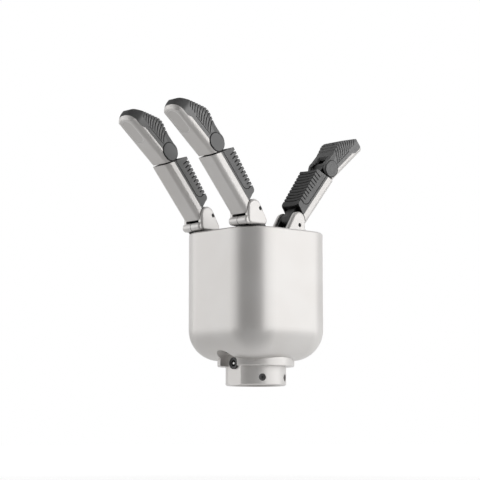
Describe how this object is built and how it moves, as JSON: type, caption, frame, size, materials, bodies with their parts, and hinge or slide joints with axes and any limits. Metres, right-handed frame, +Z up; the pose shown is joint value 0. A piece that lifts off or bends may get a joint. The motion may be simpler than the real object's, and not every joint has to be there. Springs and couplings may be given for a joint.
{
  "type": "dexterous robot hand",
  "caption": "Robot hand with opposed jointed fingers, soft ribbed pads, a rounded palm housing and a clamping wrist collar.",
  "frame": {"origin": "centre of the wrist collar's lower end, at the mouth of its bore", "axes": "+Z up through the palm, -X towards the two fingers, +X towards the thumb, -Y the palm's front face"},
  "size_m": [0.1988, 0.0786, 0.1835],
  "materials": {
    "casing": "satin",
    "casing_finger": "satin",
    "nail": "matte",
    "pad_rubber": "matte",
    "dark_cast": "matte",
    "dark_plate": "matte",
    "cap_dark": "matte",
    "socket_black": "gloss",
    "screw_black": "matte",
    "steel": "brushed",
    "frame_alu": "brushed",
    "motor_metal": "brushed",
    "board": "satin",
    "brass": "satin"
  },
  "bodies": {
    "palm": {"palm_shell": "casing", "wrist_collar": "casing", "set_screws": "steel", "power_socket": "socket_black", "socket_insert": "socket_black", "socket_contact": "steel", "top_plate": "dark_plate", "plate_screws": "screw_black", "inner_frame": "frame_alu", "controller_board": "board", "drive_motors": "motor_metal", "swivel_bearings": "brass"},
    "front_finger_knuckle": {"front_finger_swivel_base": "dark_cast", "front_finger_knuckle_block": "dark_cast", "front_finger_knuckle_cover_left": "casing", "front_finger_knuckle_cover_right": "casing", "front_finger_cover_screws": "screw_black", "front_finger_knuckle_pin": "steel"},
    "front_finger_lower_link": {"front_finger_proximal_frame": "dark_cast", "front_finger_finger_motor": "motor_metal", "front_finger_proximal_shell": "casing_finger", "front_finger_proximal_pad": "pad_rubber"},
    "front_finger_fingertip": {"front_finger_distal_frame": "dark_cast", "front_finger_joint_pin": "steel", "front_finger_distal_shell": "casing_finger", "front_finger_nail_panel": "nail", "front_finger_fingertip_pad": "pad_rubber", "front_finger_joint_caps": "cap_dark"},
    "rear_finger_knuckle": {"rear_finger_swivel_base": "dark_cast", "rear_finger_knuckle_block": "dark_cast", "rear_finger_knuckle_cover_left": "casing", "rear_finger_knuckle_cover_right": "casing", "rear_finger_cover_screws": "screw_black", "rear_finger_knuckle_pin": "steel"},
    "rear_finger_lower_link": {"rear_finger_proximal_frame": "dark_cast", "rear_finger_finger_motor": "motor_metal", "rear_finger_proximal_shell": "casing_finger", "rear_finger_proximal_pad": "pad_rubber"},
    "rear_finger_fingertip": {"rear_finger_distal_frame": "dark_cast", "rear_finger_joint_pin": "steel", "rear_finger_distal_shell": "casing_finger", "rear_finger_nail_panel": "nail", "rear_finger_fingertip_pad": "pad_rubber", "rear_finger_joint_caps": "cap_dark"},
    "thumb_knuckle": {"thumb_swivel_base": "dark_cast", "thumb_knuckle_block": "dark_cast", "thumb_knuckle_cover_left": "casing", "thumb_knuckle_cover_right": "casing", "thumb_cover_screws": "screw_black", "thumb_knuckle_pin": "steel"},
    "thumb_lower_link": {"thumb_proximal_frame": "dark_cast", "thumb_finger_motor": "motor_metal", "thumb_proximal_shell": "casing_finger", "thumb_proximal_pad": "pad_rubber"},
    "thumb_fingertip": {"thumb_distal_frame": "dark_cast", "thumb_joint_pin": "steel", "thumb_distal_shell": "casing_finger", "thumb_nail_panel": "nail", "thumb_fingertip_pad": "pad_rubber", "thumb_joint_caps": "cap_dark"}
  },
  "joints": [
    {"name": "front_finger_swivel", "type": "hinge", "parent": "palm", "child": "front_finger_knuckle", "pos_m": [-0.0267, -0.0241, 0.105], "axis": [0, 0, -1], "range_deg": [-10, 20]},
    {"name": "front_finger_knuckle_bend", "type": "hinge", "parent": "front_finger_knuckle", "child": "front_finger_lower_link", "pos_m": [-0.0313, -0.0241, 0.1172], "axis": [0, 1, 0], "range_deg": [0, 95]},
    {"name": "front_finger_tip_bend", "type": "hinge", "parent": "front_finger_lower_link", "child": "front_finger_fingertip", "pos_m": [-0.06453, -0.0241, 0.15759], "axis": [0, 1, 0], "range_deg": [0, 85]},
    {"name": "rear_finger_swivel", "type": "hinge", "parent": "palm", "child": "rear_finger_knuckle", "pos_m": [-0.0267, 0.0241, 0.105], "axis": [0, 0, 1], "range_deg": [-10, 20]},
    {"name": "rear_finger_knuckle_bend", "type": "hinge", "parent": "rear_finger_knuckle", "child": "rear_finger_lower_link", "pos_m": [-0.0313, 0.0241, 0.1172], "axis": [0, 1, 0], "range_deg": [0, 95]},
    {"name": "rear_finger_tip_bend", "type": "hinge", "parent": "rear_finger_lower_link", "child": "rear_finger_fingertip", "pos_m": [-0.06453, 0.0241, 0.15759], "axis": [0, 1, 0], "range_deg": [0, 85]},
    {"name": "thumb_swivel", "type": "hinge", "parent": "palm", "child": "thumb_knuckle", "pos_m": [0.0287, 0, 0.105], "axis": [0, 0, 1], "range_deg": [-5, 5]},
    {"name": "thumb_knuckle_bend", "type": "hinge", "parent": "thumb_knuckle", "child": "thumb_lower_link", "pos_m": [0.0333, 0, 0.1172], "axis": [0, 1, 0], "range_deg": [-95, 0]},
    {"name": "thumb_tip_bend", "type": "hinge", "parent": "thumb_lower_link", "child": "thumb_fingertip", "pos_m": [0.06653, 0, 0.15759], "axis": [0, 1, 0], "range_deg": [-85, 0]}
  ]
}
